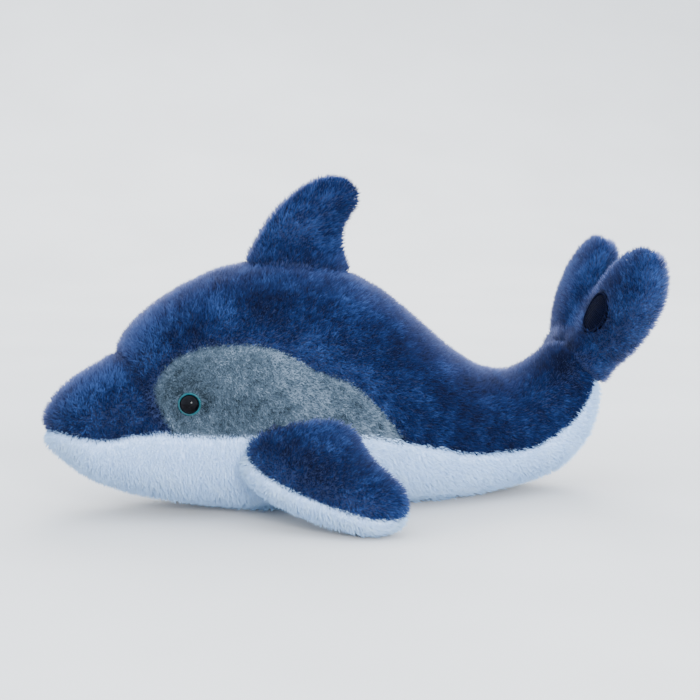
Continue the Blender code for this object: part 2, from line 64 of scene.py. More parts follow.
# Where a limb joins the body: how far its root is held, tucked in, sunk and widened
ROOT_REACH = 15.0 * MM
ROOT_TUCK = 5.0 * MM
ROOT_SINK = 2.0 * MM
ROOT_FLARES = {
    "fin": 8.0 * MM,
    "flipper_left": 2.0 * MM,
    "flipper_right": 2.0 * MM,
    "flukes": 8.0 * MM,
}

# Limbs whose pile runs on from the body's: how far and how much each turns to the other
BLENDED_LIMBS = ("fin", "flukes")
BLEND_REACH = 16.0 * MM
BLEND_SHARE = 0.5

# Tones of the pile along the seams and joins, with painted light on a limb's edges and painted shade
# in the seams and joins, and how far they reach
EDGE_PAINTED_LIGHT = 0.2
EDGE_REACH = 9.0 * MM
SEAM_SHADE = 0.16
SNOUT_SEAM_SHADE = 0.2
SNOUT_SEAM_REACH = 5.0 * MM
CHEEK_EDGE_TONE = 0.28
CHEEK_EDGE_PLACE = 2.0 * MM
CHEEK_EDGE_REACH = 2.4 * MM
JOIN_SHADE = 0.18
JOIN_REACH = 7.0 * MM

# Where the pile thins out: near another form, near the floor and round an eye or the patch
FORM_GAP = (0.5 * MM, 2.0 * MM)
FLOOR_GAP = (1.0 * MM, 4.0 * MM)
FLOOR_BARENESS = 0.85
CLEARING_DEPTH = 12.0 * MM
CLEARING_RIM = (0.95, 1.08)
CLEARING_BESIDE = (1.1, 1.7)
CLEARING_LEAN = 0.4
CLEARING_SHADE = 0.14

# The lie of the pile: its direction, how far it leans, and how it spreads close to the floor
BODY_LIE = (1.0, 0.0, -0.25)
BODY_LEAN = 0.28
BODY_REST = (2.0 * MM, 14.0 * MM)
BODY_REST_SPREAD = (0.4, 1.0, 0.0)
BODY_REST_LEAN = 1.2
FIN_LIE = (0.55, 0.0, 0.8)
LIMB_LEAN = 0.45
LIMB_REST = (2.0 * MM, 10.0 * MM)
LIMB_REST_LEAN = 0.9

# On the other limbs the pile spreads from a place, in metres, and is drawn to one side
LIMB_LIES = {
    "flipper_left": ((-0.06, -0.05, 0.05), (0.5, -0.5, -0.2)),
    "flipper_right": ((-0.06, 0.05, 0.05), (0.5, 0.5, -0.2)),
    "flukes": ((0.165, 0.0, 0.086), (0.2, 0.0, 0.4)),
}

# Strands: knee and bend as shares of the length, how much they vary, and less at a seam
STRAND_KNEE = 0.42
STRAND_BEND = 0.10
LENGTH_RANGE = (0.75, 1.12)
WIDTH_RANGE = (0.7, 1.25)
SEAM_TRIM = 0.34
PILE_FLOOR = 0.3 * MM
SEED_STEP = 10

# Pile of each kind: the densities are strands and tufts for each square metre
BODY_PILE = {
    "length": 6.2 * MM,
    "width": 0.46 * MM,
    "density": 1.55e6,
    "spread": 0.38,
    "tuft_density": 40000.0,
    "tuft_pull": 14.0,
    "border": 0.5 * MM,
    "overlap": 0.0,
    "swirl": 0.7,
    "mottle": 0.78,
    "softness": 2.6,
}
CHEEK_PILE = BODY_PILE | {
    "length": 4.6 * MM,
    "density": 2.0e6,
    "spread": 0.4,
    "overlap": 2.0 * MM,
    "swirl": 0.5,
    "mottle": 0.9,
}
BELLY_PILE = BODY_PILE | {"density": 0.9e6, "overlap": 2.4 * MM, "mottle": 0.5}
LIMB_PILE = BODY_PILE | {"length": 5.8 * MM, "density": 1.5e6}
UNDER_PILE = LIMB_PILE | {"overlap": 2.0 * MM}

# Body panels that aren't blue, by the first word of their names
PALE_PILES = {"cheek": ("grey_pile", CHEEK_PILE), "belly": ("white_pile", BELLY_PILE)}

# Unevenness of the pile: the scale of each noise, and its weight in the tone
LAP_SCALE = 110.0
SWIRL_SCALE = 32.0
CLOUD_SCALE, CLOUD_WEIGHT = 34.0, 0.9
TUFT_SCALE, TUFT_WEIGHT = 130.0, 1.1
FINE_SCALE, FINE_WEIGHT = 430.0, 1.2
TONE_MIDDLE = 1.6
TONE_RANGE = (0.32, 0.68)
TONE_LOWEST, TONE_HIGHEST = 0.02, 0.98
MAP_BREADTH = 0.004

# Safety eyes: how far each turned piece stands in from its node, and its form
RING_TUCK = 0.75 * MM
PUPIL_TUCK = 0.25 * MM
RING_RIM = 0.7 * MM
RING_THICK = 2.4 * MM
RING_FACE = 0.86
RING_FACE_DROP = 0.12 * MM
SHANK_RADIUS = 2.0 * MM
SHANK_TIP = 0.6
SHANK_TAPER = 0.5
EYE_SEGMENTS = 48
DOME_STEPS = 16
RIM_STEPS = 6
SHARP_EDGE_DEG = 50.0
LATHE_MERGE = 0.001 * MM

# Embroidered patch
THREAD_WIDTH = 0.46 * MM
STITCH_LENGTH = 3.6 * MM
STITCH_STEP = 0.96
FILL_ARCH = 0.25
ROW_SPACING = 0.4 * MM
BORDER_WIDTH = 2.2 * MM
BORDER_SPACING = 0.46 * MM
BORDER_REACH = 1.25
BORDER_THREAD = 1.2
BORDER_ARCH = 1.5
BORDER_SLANT = 0.2
BORDER_LIFT = -0.1 * MM
CLOTH_SHARE = 0.96
CLOTH_LIFT = -0.15 * MM
CLOTH_THICK = 1.2 * MM
CLOTH_TURNS, CLOTH_RINGS = 40, 4

# Dyes and other colours, from dark to light: a place on the scale and a colour
BLUE_DYE = [
    (0.05, (0.0006, 0.0021, 0.0155)),
    (0.5, (0.003, 0.0105, 0.053)),
    (0.95, (0.0245, 0.056, 0.174)),
]
GREY_DYE = [
    (0.1, (0.0126, 0.0208, 0.029)),
    (0.5, (0.0525, 0.0775, 0.1085)),
    (0.9, (0.15, 0.198, 0.257)),
]
WHITE_DYE = [
    (0.1, (0.35, 0.55, 0.90)),
    (0.5, (0.47, 0.68, 1.0)),
    (0.9, (0.57, 0.77, 1.0)),
]
BLUE_BACKING = [(0.3, (0.002, 0.007, 0.034)), (0.7, (0.005, 0.016, 0.075))]
GREY_BACKING = [(0.3, (0.03, 0.048, 0.066)), (0.7, (0.065, 0.098, 0.135))]
WHITE_BACKING = [(0.3, (0.46, 0.62, 0.90)), (0.7, (0.58, 0.75, 1.0))]
THREAD_DYE = [(0.1, (0.0005, 0.0008, 0.004)), (0.9, (0.002, 0.003, 0.0125))]
FLOOR_COLOURS = [(0.3, (0.505, 0.478, 0.453)), (0.7, (0.54, 0.512, 0.487))]

# Finishes of pile: its dye, how light its root is kept under the painted shade at the root, and its
# sheen's tint and weight
PILE_FINISHES = {
    "blue_pile": (BLUE_DYE, 0.3, (0.5, 0.55, 1.0), 0.38),
    "grey_pile": (GREY_DYE, 0.2, (0.8, 0.9, 1.0), 0.33),
    "white_pile": (WHITE_DYE, 0.9, (0.45, 0.68, 1.0), 0.7),
}

# Plastics: a dark and a light colour, roughness and specular level
IRIS_PLASTIC = ((0.0008, 0.036, 0.046), (0.0016, 0.056, 0.07), 0.3, 0.2)
PUPIL_PLASTIC = ((0.0005, 0.0005, 0.001), (0.002, 0.002, 0.003), 0.06, 0.058)
WASHER_PLASTIC = ((0.68, 0.68, 0.68), (0.78, 0.78, 0.78), 0.5, 0.4)

# The room, in metres and watts
FLOOR_HALF = 4.0
BEND_START = 1.2
BEND_RADIUS = 1.6
BEND_STEPS = 16
WALL_HEIGHT = 3.0
SKY_COLOUR = (0.76, 0.87, 1.0)
SKY_STRENGTH = 4.6
LIGHT_COLOUR = (0.92, 0.96, 1.0)

BODY_PANELS = [
    "snout_panel",
    "back_panel_left",
    "back_panel_right",
    "cheek_panel_left",
    "cheek_panel_right",
    "belly_panel",
]
LIMBS = {
    "fin": (["dorsal_fin_left", "dorsal_fin_right"], "dorsal_fin_stuffing"),
    "flipper_left": (["flipper_left_top", "flipper_left_under"], "flipper_left_stuffing"),
    "flipper_right": (["flipper_right_top", "flipper_right_under"], "flipper_right_stuffing"),
    "flukes": (["fluke_front_panel", "fluke_rear_panel"], "fluke_stuffing"),
}
BACKING_TINTS = {
    "whiteness": ["belly_panel", "flipper_left_under", "flipper_right_under"],
    "greyness": ["cheek_panel_left", "cheek_panel_right"],
}
BACKING_EDGE = 1.0 * MM
SIDES = ("left", "right")

# Where the pile is parted or pressed and looks darker, and where it is brushed up and lighter, with
# painted shade in folds and on the shaded sides and painted light on the lit top and edges:
# x, y to either side, z and reach in mm, and the change of tone
PARTINGS_AND_PAINTED_LIGHT_SPOTS = [
    (-165, 20, 76, 34, 0.27),
    (-128, 20, 112, 26, 0.16),
    (200, 30, 150, 60, 0.16),
    (-10, 5, 190, 34, -0.06),
    (30, 58, 85, 45, -0.18),
    (105, 40, 50, 36, -0.2),
    (-127, 47, 74, 9, -0.22),
    (-96, 44, 120, 13, -0.2),
    (-60, 45, 133, 12, -0.18),
    (-50, 55, 119, 12, -0.18),
    (58, 54, 62, 18, -0.12),
    (150, 20, 88, 17, -0.3),
    (158, 10, 103, 15, -0.06),
    (-154, 36, 75, 14, -0.08),
    (-32, 11, 157, 14, -0.14),
    (-49, 86, 48, 14, -0.16),
    (-38, 102, 35, 14, -0.16),
    (-111, 10, 135, 24, 0.05),
    (-43, 30, 149, 11, 0.14),
    (-5, 35, 141, 20, 0.12),
    (-73, 40, 137, 12, 0.08),
    (-55, 63, 78, 26, 0.1),
    (-20, 62, 75, 25, 0.26),
    (8, 61, 66, 24, 0.25),
    (-118, 50, 88, 24, -0.19),
]

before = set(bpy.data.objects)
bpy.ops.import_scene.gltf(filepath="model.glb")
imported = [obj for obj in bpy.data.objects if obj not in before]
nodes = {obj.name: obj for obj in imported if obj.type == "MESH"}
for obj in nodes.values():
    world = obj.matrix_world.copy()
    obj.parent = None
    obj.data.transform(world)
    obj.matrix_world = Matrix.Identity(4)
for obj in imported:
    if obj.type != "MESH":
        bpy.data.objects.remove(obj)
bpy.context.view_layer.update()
scene = bpy.context.scene


class Tree:
    """A short way to write the nodes of a shader or geometry tree."""

    def __init__(self, tree):
        self.tree = tree

    def add(self, kind, *links, settings=None, **values):
        """Adds a node, links its first inputs in order and sets or links the named ones."""
        node = self.tree.nodes.new(kind)
        for key, value in (settings or {}).items():
            setattr(node, key, value)
        sockets = [socket for socket in node.inputs if socket.enabled]
        for socket, link in zip(sockets, links):
            self.put(socket, link)
        for name, value in values.items():
            wanted = name.replace("_", " ").lower()
            socket = next(s for s in sockets if s.name.lower() == wanted)
            self.put(socket, value)
        return node

    def put(self, socket, value):
        if isinstance(value, bpy.types.NodeSocket):
            self.tree.links.new(value, socket)
        else:
            socket.default_value = value

    def math(self, operation, *links):
        return self.add("ShaderNodeMath", *links, settings={"operation": operation}).outputs[0]

    def vector(self, operation, *links):
        node = self.add("ShaderNodeVectorMath", *links, settings={"operation": operation})
        return next(socket for socket in node.outputs if socket.enabled)

    def scaled(self, vector, factor):
        node = self.add("ShaderNodeVectorMath", vector, settings={"operation": "SCALE"})
        self.put(node.inputs["Scale"], factor)
        return node.outputs[0]

    def named(self, name, kind="FLOAT"):
        node = self.add("GeometryNodeInputNamedAttribute", settings={"data_type": kind})
        self.put(node.inputs["Name"], name)
        return node.outputs[0]

    def stored(self, geometry, name, value, kind="FLOAT", domain="POINT"):
        node = self.add(
            "GeometryNodeStoreNamedAttribute",
            settings={"data_type": kind, "domain": domain},
        )
        self.put(node.inputs["Geometry"], geometry)
        self.put(node.inputs["Name"], name)
        self.put(next(s for s in node.inputs if s.name == "Value" and s.enabled), value)
        return node.outputs[0]

    def turned(self, axis, way, second_axis, second_way):
        """A turn that puts one axis along a way, and another as near as it goes to a second."""
        kind = "FunctionNodeAlignRotationToVector"
        turn = self.add(kind, vector=way, settings={"axis": axis}).outputs[0]
        settings = {"axis": second_axis, "pivot_axis": axis}
        return self.add(kind, rotation=turn, vector=second_way, settings=settings).outputs[0]

    def copies(self, points, piece, turn, size):
        """A real copy of a piece on each point."""
        shape = self.add("GeometryNodeObjectInfo", piece).outputs["Geometry"]
        made = self.add(
            "GeometryNodeInstanceOnPoints", points=points, instance=shape, rotation=turn, scale=size
        ).outputs[0]
        return self.add("GeometryNodeRealizeInstances", made).outputs[0]

    def end(self, geometry, material):
        made = self.add("GeometryNodeSetMaterial", geometry, material=material).outputs[0]
        self.put(self.add("NodeGroupOutput").inputs[0], made)


def new_geometry_tree(name, inputs, output):
    """A tree with named inputs and one output of geometry."""
    group = bpy.data.node_groups.new(name, "GeometryNodeTree")
    for key, kind in inputs.items():
        group.interface.new_socket(key, in_out="INPUT", socket_type=f"NodeSocket{kind}")
    group.interface.new_socket(output, in_out="OUTPUT", socket_type="NodeSocketGeometry")
    t = Tree(group)
    return group, t, t.add("NodeGroupInput").outputs


def apply_tree(piece, tree, given):
    """Runs a geometry tree on a piece with the given inputs, and keeps the plain mesh."""
    modifier = piece.modifiers.new(tree.name, "NODES")
    modifier.node_group = tree
    for item in tree.interface.items_tree:
        if item.item_type == "SOCKET" and item.in_out == "INPUT" and item.name in given:
            modifier[item.identifier] = given[item.name]
    apply_modifiers(piece)


# Small mesh tools


def linked(name, data):
    made = bpy.data.objects.new(name, data)
    scene.collection.objects.link(made)
    return made


def mesh_piece(name, points, faces):
    mesh = bpy.data.meshes.new(name)
    mesh.from_pydata([tuple(p) for p in points], [], faces)
    mesh.shade_smooth()
    return linked(name, mesh)


def merged_copy(name, node_names):
    """One mesh made of copies of the frame's nodes, with their loose triangles merged."""
    shape = bmesh.new()
    for node in node_names:
        shape.from_mesh(nodes[node].data)
    bmesh.ops.remove_doubles(shape, verts=shape.verts, dist=MERGE_DISTANCE)
    mesh = bpy.data.meshes.new(name)
    shape.to_mesh(mesh)
    shape.free()
    return linked(name, mesh)


def apply_modifiers(piece):
    """Turns a piece and its modifiers into a plain mesh."""
    graph = bpy.context.evaluated_depsgraph_get()
    mesh = bpy.data.meshes.new_from_object(piece.evaluated_get(graph), depsgraph=graph)
    old = piece.data
    piece.modifiers.clear()
    piece.data = mesh
    bpy.data.meshes.remove(old)
    mesh.name = piece.name


def points_of(mesh):
    found = np.empty(len(mesh.vertices) * 3)
    mesh.vertices.foreach_get("co", found)
    return found.reshape(-1, 3)


def normals_of(mesh):
    found = np.empty(len(mesh.vertices) * 3)
    mesh.vertices.foreach_get("normal", found)
    return found.reshape(-1, 3)


def put_points(mesh, points):
    mesh.vertices.foreach_set("co", points.ravel())
    mesh.update()


def put_attribute(mesh, name, values, kind="FLOAT"):
    layer = mesh.attributes.new(name, kind, "POINT")
    key = "vector" if kind == "FLOAT_VECTOR" else "value"
    layer.data.foreach_set(key, np.asarray(values, np.float32).ravel())


def search_tree(piece):
    mesh = piece.data
    return BVHTree.FromPolygons(
        [v.co for v in mesh.vertices], [tuple(p.vertices) for p in mesh.polygons]
    )


def signed_distances(points, tree):
    """Distance of each point outside a closed mesh, less than zero within it, and its direction."""
    distances, directions = np.empty(len(points)), np.empty((len(points), 3))
    for i, point in enumerate(points):
        place, normal, _, distance = tree.find_nearest(Vector(point))
        outside = (Vector(point) - place).dot(normal) >= 0.0
        distances[i] = distance if outside else -distance
        directions[i] = normal
    return distances, directions


def smooth_step(values, low, high):
    share = np.clip((values - low) / (high - low), 0.0, 1.0)
    return share * share * (3.0 - 2.0 * share)


def fade(values, low, high):
    """1 below a range of values, and nothing above it."""
    return 1.0 - smooth_step(values, low, high)


def bell(away, reach):
    """1 where a distance is nothing, falling off smoothly round its reach."""
    return np.exp(-((away / reach) ** 2))


def unit(vectors):
    return vectors / np.maximum(np.linalg.norm(vectors, axis=-1, keepdims=True), 1e-9)


# Stuffed forms


def panel_margins(points, panels):
    """For each panel, how far inside its own border each point lies, less than zero outside it."""
    away = np.empty((len(panels), len(points)))
    for row, panel in enumerate(panels):
        tree = search_tree(nodes[panel])
        for i, point in enumerate(points):
            away[row, i] = tree.find_nearest(Vector(point))[3]
    margins = {}
    for row, panel in enumerate(panels):
        others = np.delete(away, row, axis=0).min(axis=0)
        margins[panel] = others - away[row]
    return margins


def seam_distance(margins):
    """How far each point lies from the nearest seam."""
    return np.abs(np.array(list(margins.values()))).min(axis=0)


def outer_form(name, node_names, voxel, smoothing):
    """The closed outer surface of some nodes, rounded off."""
    form = merged_copy(name, node_names)
    remesh = form.modifiers.new("remesh", "REMESH")
    remesh.mode = "VOXEL"
    remesh.voxel_size = voxel
    rounding = form.modifiers.new("rounding", "SMOOTH")
    rounding.factor = 0.5
    rounding.iterations = smoothing
    apply_modifiers(form)
    return form


def swell(form, held):
    """Blows a form up a little between the points that are held, as filling does."""
    mesh = form.data
    start = points_of(mesh)
    group = form.vertex_groups.new(name="held")
    for i, weight in enumerate(held):
        group.add([i], float(weight), "REPLACE")
    cloth = form.modifiers.new("cloth", "CLOTH")
    settings = cloth.settings
    settings.quality = 5
    settings.mass = 0.3
    settings.tension_stiffness = 20.0
    settings.compression_stiffness = 20.0
    settings.shear_stiffness = 8.0
    settings.bending_stiffness = 0.4
    settings.use_pressure = True
    settings.uniform_pressure_force = SWELL_PRESSURE
    settings.vertex_group_mass = group.name
    settings.effector_weights.gravity = 0.0
    cloth.collision_settings.use_collision = False
    for number in range(1, SWELL_FRAMES + 1):
        scene.frame_set(number)
    graph = bpy.context.evaluated_depsgraph_get()
    moved = points_of(form.evaluated_get(graph).data) - start
    form.modifiers.clear()
    form.vertex_groups.clear()
    scene.frame_set(1)
    length = np.linalg.norm(moved, axis=1, keepdims=True)
    moved *= np.minimum(1.0, SWELL_CAP / np.maximum(length, 1e-9))
    put_points(mesh, start + moved)


def stuffed_form(form, panels, depth, joined=None, flare=0.0):
    """Draws a form in by its pile's depth, joins it to the form that carries it and swells it."""
    mesh = form.data
    outer, normals = points_of(mesh), normals_of(mesh)
    inner = outer - normals * depth
    inner[:, 2] = np.minimum(inner[:, 2], outer[:, 2] * FLOOR_SLOPE + FLOOR_LIFT)
    root = np.zeros(len(outer))
    if joined:
        away, direction = signed_distances(outer, joined)
        root = fade(away, 0.0, ROOT_REACH)
        sunk = outer - direction * (away[:, None] + BODY_DEPTH + ROOT_SINK)
        inner += (sunk - inner) * fade(away, 0.0, ROOT_TUCK)[:, None]
        inner += along_surface(normals, direction, flare) * (root**2)[:, None]
    put_points(mesh, inner)
    to_seam = seam_distance(panel_margins(outer, panels))
    floor_hold = fade(outer[:, 2], *FLOOR_HOLD)
    swell(form, np.maximum.reduce([fade(to_seam, 0.0, SEAM_HOLD), root, floor_hold]))
    finer = form.modifiers.new("finer", "SUBSURF")
    finer.levels = finer.render_levels = 1
    apply_modifiers(form)
    form.data.shade_smooth()


def oval_clearing(middle, along, across, half_length, half_width):
    """Makes a measure of points round an oval: 1 on its rim, with the way out from its middle."""

    def measure(points):
        away = points - np.array(middle)
        a, b = away @ np.array(along), away @ np.array(across)
        flat = a[:, None] * np.array(along) + b[:, None] * np.array(across)
        off = np.linalg.norm(away - flat, axis=1) / CLEARING_DEPTH
        return np.hypot(a / half_length, b / half_width) + np.maximum(off - 1.0, 0.0), unit(flat)

    return measure


def seam_sinking(margins):
    """How far the seams draw each point in: less where the two back panels meet."""
    sinking = bell(seam_distance(margins), SEAM_WIDTH)
    if "back_panel_left" in margins:
        beside = np.hypot(margins["back_panel_left"], margins["back_panel_right"])
        sinking *= 1.0 - BACK_SEAM_HIDING * bell(beside, 2.0 * SEAM_WIDTH)
    return sinking


def seam_tone_and_painted_light(margins, sinking):
    """The tone along the seams: painted light on a limb's edges, painted shade in the body's seams,
    and a lighter edge to the cheeks.
    """
    if "snout_panel" not in margins:
        # Painted light: a limb's pile is lighter near its edges, as if lit through
        return EDGE_PAINTED_LIGHT * bell(seam_distance(margins), EDGE_REACH)
    tone = -SEAM_SHADE * sinking
    crease = bell(margins["snout_panel"], SNOUT_SEAM_REACH)
    tone -= SNOUT_SEAM_SHADE * crease * (margins["belly_panel"] < 0.0)
    cheek = np.maximum(margins["cheek_panel_left"], margins["cheek_panel_right"])
    tone += CHEEK_EDGE_TONE * bell(cheek - CHEEK_EDGE_PLACE, CHEEK_EDGE_REACH)
    return tone


def add_partings_and_painted_light(tone, points):
    """Adds the parted and the brushed places, with their painted light and shade, to a tone, the
    same on both sides.
    """
    either_side = points * [1.0, 0.0, 1.0] + np.abs(points) * [0.0, 1.0, 0.0]
    for x, y, z, reach, change in PARTINGS_AND_PAINTED_LIGHT_SPOTS:
        away = np.linalg.norm(either_side - np.array((x, y, z)) * MM, axis=1)
        tone += change * bell(away, reach * MM)


def dress_form(form, panels, depth, lay, other_forms, blended, clearings):
    """Keeps on a form's points what its pile reads, and sinks its seams."""
    mesh = form.data
    inner, normals = points_of(mesh), normals_of(mesh)
    outer = inner + normals * depth
    margins = panel_margins(outer, panels)
    for panel, margin in margins.items():
        put_attribute(mesh, panel, margin)
    sinking = seam_sinking(margins)
    put_points(mesh, inner - normals * (sinking * SEAM_DEPTH)[:, None])
    bare = FLOOR_BARENESS * fade(outer[:, 2], *FLOOR_GAP)
    for tree in other_forms:
        away, _ = signed_distances(outer, tree)
        bare = np.maximum(bare, fade(away, *FORM_GAP))
    tone = seam_tone_and_painted_light(margins, sinking)
    facing = normals.copy()
    for tree in blended:
        away, direction = signed_distances(outer, tree)
        near = BLEND_SHARE * fade(away, 0.0, BLEND_REACH)
        facing = unit(facing + (direction - facing) * near[:, None])
        tone -= JOIN_SHADE * bell(away, JOIN_REACH)
    leaning = lay(outer, normals)
    for measure in clearings:
        share, outward = measure(outer)
        bare = np.maximum(bare, fade(share, *CLEARING_RIM))
        near = fade(share, *CLEARING_BESIDE)
        leaning += outward * (CLEARING_LEAN * near)[:, None]
        tone -= CLEARING_SHADE * near
    add_partings_and_painted_light(tone, outer)
    put_attribute(mesh, "facing", facing, "FLOAT_VECTOR")
    put_attribute(mesh, "bare", bare)
    put_attribute(mesh, "lay", leaning, "FLOAT_VECTOR")
    put_attribute(mesh, "shade", tone)
    put_attribute(mesh, "pile", 1.0 - SEAM_TRIM * sinking)


def paint_backing(form, material):
    """Marks where a form's backing is white or grey, and gives it its material."""
    mesh = form.data
    for tint, panels in BACKING_TINTS.items():
        share = np.zeros(len(mesh.vertices))
        for panel in panels:
            if panel in mesh.attributes:
                margin = np.empty(len(share))
                mesh.attributes[panel].data.foreach_get("value", margin)
                share = np.maximum(share, smooth_step(margin, -BACKING_EDGE, BACKING_EDGE))
        put_attribute(mesh, tint, share)
    mesh.materials.clear()
    mesh.materials.append(material)


# The lie of the pile: at each point a direction across the surface, as long as the pile leans


def along_surface(direction, normals, lean):
    flat = direction - normals * (direction * normals).sum(axis=1, keepdims=True)
    return unit(flat) * lean


def body_lay(points, normals):
    direction = np.tile(BODY_LIE, (len(points), 1))
    resting = fade(points[:, 2:3], *BODY_REST)
    outward = points * BODY_REST_SPREAD
    direction = direction * (1.0 - resting) + unit(outward) * resting
    return along_surface(direction, normals, BODY_LEAN + BODY_REST_LEAN * resting)


def fin_lay(points, normals):
    direction = np.tile(FIN_LIE, (len(points), 1))
    return along_surface(direction, normals, LIMB_LEAN)


def limb_lay(centre, tip_pull):
    """A lie that spreads from a centre, and towards a direction."""

    def lay(points, normals):
        direction = unit(points - np.array(centre)) + np.array(tip_pull)
        resting = fade(points[:, 2:3], *LIMB_REST)
        return along_surface(direction, normals, LIMB_LEAN + LIMB_REST_LEAN * resting)

    return lay


# Pile


def strand_piece():
    """One tuft of fibres as a closed sliver: a root, a knee on each side and a tip."""
    points = [
        (0.0, 0.0, 0.0),
        (-0.5, STRAND_BEND, STRAND_KNEE),
        (0.5, STRAND_BEND, STRAND_KNEE),
        (0.0, 0.0, 1.0),
    ]
    strand = mesh_piece("strand", points, [(0, 1, 2), (1, 3, 2), (0, 3, 1), (0, 2, 3)])
    shape = bmesh.new()
    shape.from_mesh(strand.data)
    bmesh.ops.recalc_face_normals(shape, faces=shape.faces)
    shape.to_mesh(strand.data)
    shape.free()
    put_attribute(strand.data, "reach", [0.0, STRAND_KNEE, STRAND_KNEE, 1.0])
    put_attribute(strand.data, "across", [0.0, -1.0, 1.0, 0.0])
    return strand


def pile_tree():
    """Grows pile on the part of a form that belongs to one panel."""
    sizes = ["Density", "Length", "Width", "Spread", "Tuft Density", "Tuft Pull"]
    sizes += ["Border", "Overlap", "Swirl", "Mottle", "Softness"]
    inputs = {"Form": "Geometry", "Panel": "String", "Strand": "Object"}
    inputs |= {size: "Float" for size in sizes}
    inputs |= {"Seed": "Int", "Material": "Material"}
    group, t, given = new_geometry_tree("pile", inputs, "Pile")
    place = t.add("GeometryNodeInputPosition").outputs[0]
    normal = t.named("facing", "FLOAT_VECTOR")

    def stepped_seed(step):
        return t.math("ADD", given["Seed"], float(step))

    def chance(low, high, step):
        node = t.add("FunctionNodeRandomValue", settings={"data_type": "FLOAT"}, min=low, max=high)
        t.put(node.inputs["Seed"], stepped_seed(step))
        return node.outputs[1]

    def noise(scale, detail=1.0):
        return t.add("ShaderNodeTexNoise", place, scale=scale, detail=detail).outputs

    grown = t.math("SUBTRACT", 1.0, t.named("bare"))
    roots = t.add(
        "GeometryNodeDistributePointsOnFaces",
        mesh=given["Form"],
        density=t.math("MULTIPLY", given["Density"], grown),
        seed=given["Seed"],
    ).outputs["Points"]
    lapping = t.math("MULTIPLY", given["Overlap"], noise(LAP_SCALE)[0])
    margin = t.math("ADD", t.named(given["Panel"]), lapping)
    edge = t.math("ADD", margin, t.math("MULTIPLY", given["Border"], chance(-1.0, 1.0, 1)))
    outside = t.math("LESS_THAN", edge, 0.0)
    kept = t.add("GeometryNodeDeleteGeometry", roots, outside).outputs[0]

    guides = t.add(
        "GeometryNodeDistributePointsOnFaces",
        mesh=given["Form"],
        density=given["Tuft Density"],
        seed=stepped_seed(7),
    ).outputs["Points"]
    nearest = t.add("GeometryNodeSampleNearest", guides, place).outputs[0]
    settings = {"data_type": "FLOAT_VECTOR"}
    guide = t.add("GeometryNodeSampleIndex", guides, place, nearest, settings=settings).outputs[0]
    pull = t.scaled(t.vector("SUBTRACT", guide, place), given["Tuft Pull"])
    wander = t.add("ShaderNodeCombineXYZ", *[chance(-1.0, 1.0, step) for step in (2, 3, 4)])
    wander = t.scaled(wander.outputs[0], given["Spread"])
    swirl = t.vector("SUBTRACT", noise(SWIRL_SCALE)["Color"], (0.5, 0.5, 0.5))
    swirl = t.scaled(swirl, given["Swirl"])
    lean = t.vector("ADD", t.vector("ADD", t.named("lay", "FLOAT_VECTOR"), pull), wander)
    direction = t.vector("NORMALIZE", t.vector("ADD", normal, t.vector("ADD", lean, swirl)))

    cloud = t.math("MULTIPLY", noise(CLOUD_SCALE)[0], CLOUD_WEIGHT)
    tuft = t.math("MULTIPLY", noise(TUFT_SCALE, 2.0)[0], TUFT_WEIGHT)
    fine = t.math("MULTIPLY", noise(FINE_SCALE)[0], FINE_WEIGHT)
    tone = t.math("ADD", t.math("ADD", cloud, tuft), fine)
    tone = t.math("MULTIPLY", t.math("SUBTRACT", tone, TONE_MIDDLE), given["Mottle"])
    # The form's painted light and shade are added to each strand's random tone here
    tone = t.math("ADD", t.math("ADD", tone, t.named("shade")), chance(*TONE_RANGE, 5))
    tone = t.math("MINIMUM", t.math("MAXIMUM", tone, TONE_LOWEST), TONE_HIGHEST)
    kept = t.stored(kept, "tone", tone)
    kept = t.stored(kept, "root_normal", normal, "FLOAT_VECTOR")

    turn = t.turned("Z", direction, "Y", normal)
    length = t.math("MULTIPLY", t.named("pile"), chance(*LENGTH_RANGE, 6))
    length = t.math("MULTIPLY", given["Length"], length)
    width = t.math("MULTIPLY", given["Width"], chance(*WIDTH_RANGE, 8))
    size = t.add("ShaderNodeCombineXYZ", width, length, length).outputs[0]
    strands = t.copies(kept, given["Strand"], turn, size)

    x, y, z = t.add("ShaderNodeSeparateXYZ", place).outputs
    above = t.add("ShaderNodeCombineXYZ", x, y, t.math("MAXIMUM", z, PILE_FLOOR)).outputs[0]
    strands = t.add("GeometryNodeSetPosition", geometry=strands, position=above).outputs[0]
    own = t.add("GeometryNodeInputNormal").outputs[0]
    soft = t.scaled(t.named("root_normal", "FLOAT_VECTOR"), given["Softness"])
    shaded = t.vector("NORMALIZE", t.vector("ADD", soft, own))
    strands = t.add(
        "GeometryNodeSetMeshNormal", mesh=strands, custom_normal=shaded, settings={"mode": "FREE"}
    ).outputs[0]
    # The strands' own map has the tone across and the reach along, and no face of it is flat
    beside = t.math("MULTIPLY", t.named("across"), MAP_BREADTH)
    flat = t.add("ShaderNodeCombineXYZ", t.math("ADD", t.named("tone"), beside), t.named("reach"))
    strands = t.stored(strands, "OFBake", flat.outputs[0], "FLOAT2", "CORNER")
    t.end(strands, given["Material"])
    return group


def grow_pile(name, form, panel, slot, material, tree, strand, **sizes):
    """The strands of one panel's pile, as a piece that stands for the panel."""
    piece = linked(name, form.data.copy())
    given = {"Panel": panel, "Strand": strand, "Material": material}
    given.update({key.replace("_", " ").title(): value for key, value in sizes.items()})
    apply_tree(piece, tree, given)
    for spare in ("root_normal", "across", "bare", "lay", "shade", "pile", "facing"):
        layer = piece.data.attributes.get(spare)
        if layer:
            piece.data.attributes.remove(layer)
    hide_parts(panel)
    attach(piece, "root")


